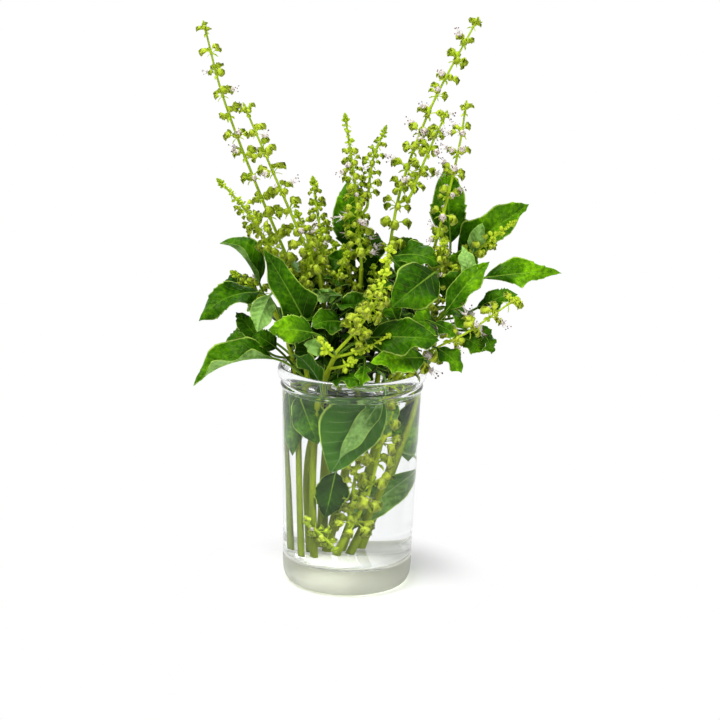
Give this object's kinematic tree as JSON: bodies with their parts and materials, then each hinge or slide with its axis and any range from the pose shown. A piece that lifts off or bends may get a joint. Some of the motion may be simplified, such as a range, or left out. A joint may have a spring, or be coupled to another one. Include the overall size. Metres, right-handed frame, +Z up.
{
  "type": "holy basil bunch in a glass",
  "caption": "Bunch of flowering holy basil: leafy cut stems and slender flower spikes standing in a straight clear glass of water.",
  "frame": {"origin": "middle of the glass's flat underside, on the surface that it stands on", "axes": "+Z up the glass, +X to the bunch's right seen from the front, -Y towards the front"},
  "size_m": [0.179, 0.1214, 0.2812],
  "materials": {
    "clear_glass": "clear, smooth, faintly green at the thick base",
    "water": "clear still water",
    "stem": "yellow-green, soft, finely hairy",
    "leaf": "deep green satin with paler veins and margin, grey-green underneath",
    "flower_spike": "matt yellow-green calyces"
  },
  "bodies": {
    "root": {"glass": "clear_glass", "stem_left": "stem", "stem_edge": "stem", "stem_mid_left": "stem", "stem_centre": "stem", "stem_tall": "stem", "stem_right": "stem", "stem_front": "stem", "stem_sloping": "stem", "stem_rear_right": "stem", "stem_rear": "stem", "raceme_left_tall": "flower_spike", "raceme_left_inner": "flower_spike", "raceme_left_low": "flower_spike", "raceme_left_back": "flower_spike", "raceme_edge": "flower_spike", "raceme_centre": "flower_spike", "raceme_centre_side": "flower_spike", "raceme_right_tall": "flower_spike", "raceme_right_side": "flower_spike", "raceme_right": "flower_spike", "raceme_front": "flower_spike", "raceme_sloping": "flower_spike", "raceme_rear_right": "flower_spike", "raceme_heart": "flower_spike", "raceme_rear": "flower_spike", "leaf_left_1": "leaf", "leaf_left_2": "leaf", "leaf_left_3": "leaf", "leaf_left_4": "leaf", "leaf_left_5": "leaf", "leaf_left_6": "leaf", "leaf_left_7": "leaf", "leaf_left_8": "leaf", "leaf_front_1": "leaf", "leaf_front_2": "leaf", "leaf_front_3": "leaf", "leaf_front_4": "leaf", "leaf_front_5": "leaf", "leaf_front_6": "leaf", "leaf_front_7": "leaf", "leaf_centre_1": "leaf", "leaf_centre_2": "leaf", "leaf_centre_3": "leaf", "leaf_centre_4": "leaf", "leaf_centre_5": "leaf", "leaf_right_1": "leaf", "leaf_right_2": "leaf", "leaf_right_3": "leaf", "leaf_right_4": "leaf", "leaf_right_5": "leaf", "leaf_right_6": "leaf", "leaf_sunk_1": "leaf", "leaf_sunk_2": "leaf", "leaf_back_1": "leaf", "leaf_back_2": "leaf", "leaf_back_3": "leaf", "leaf_back_4": "leaf", "leaf_back_5": "leaf", "water": "water"}
  },
  "joints": []
}
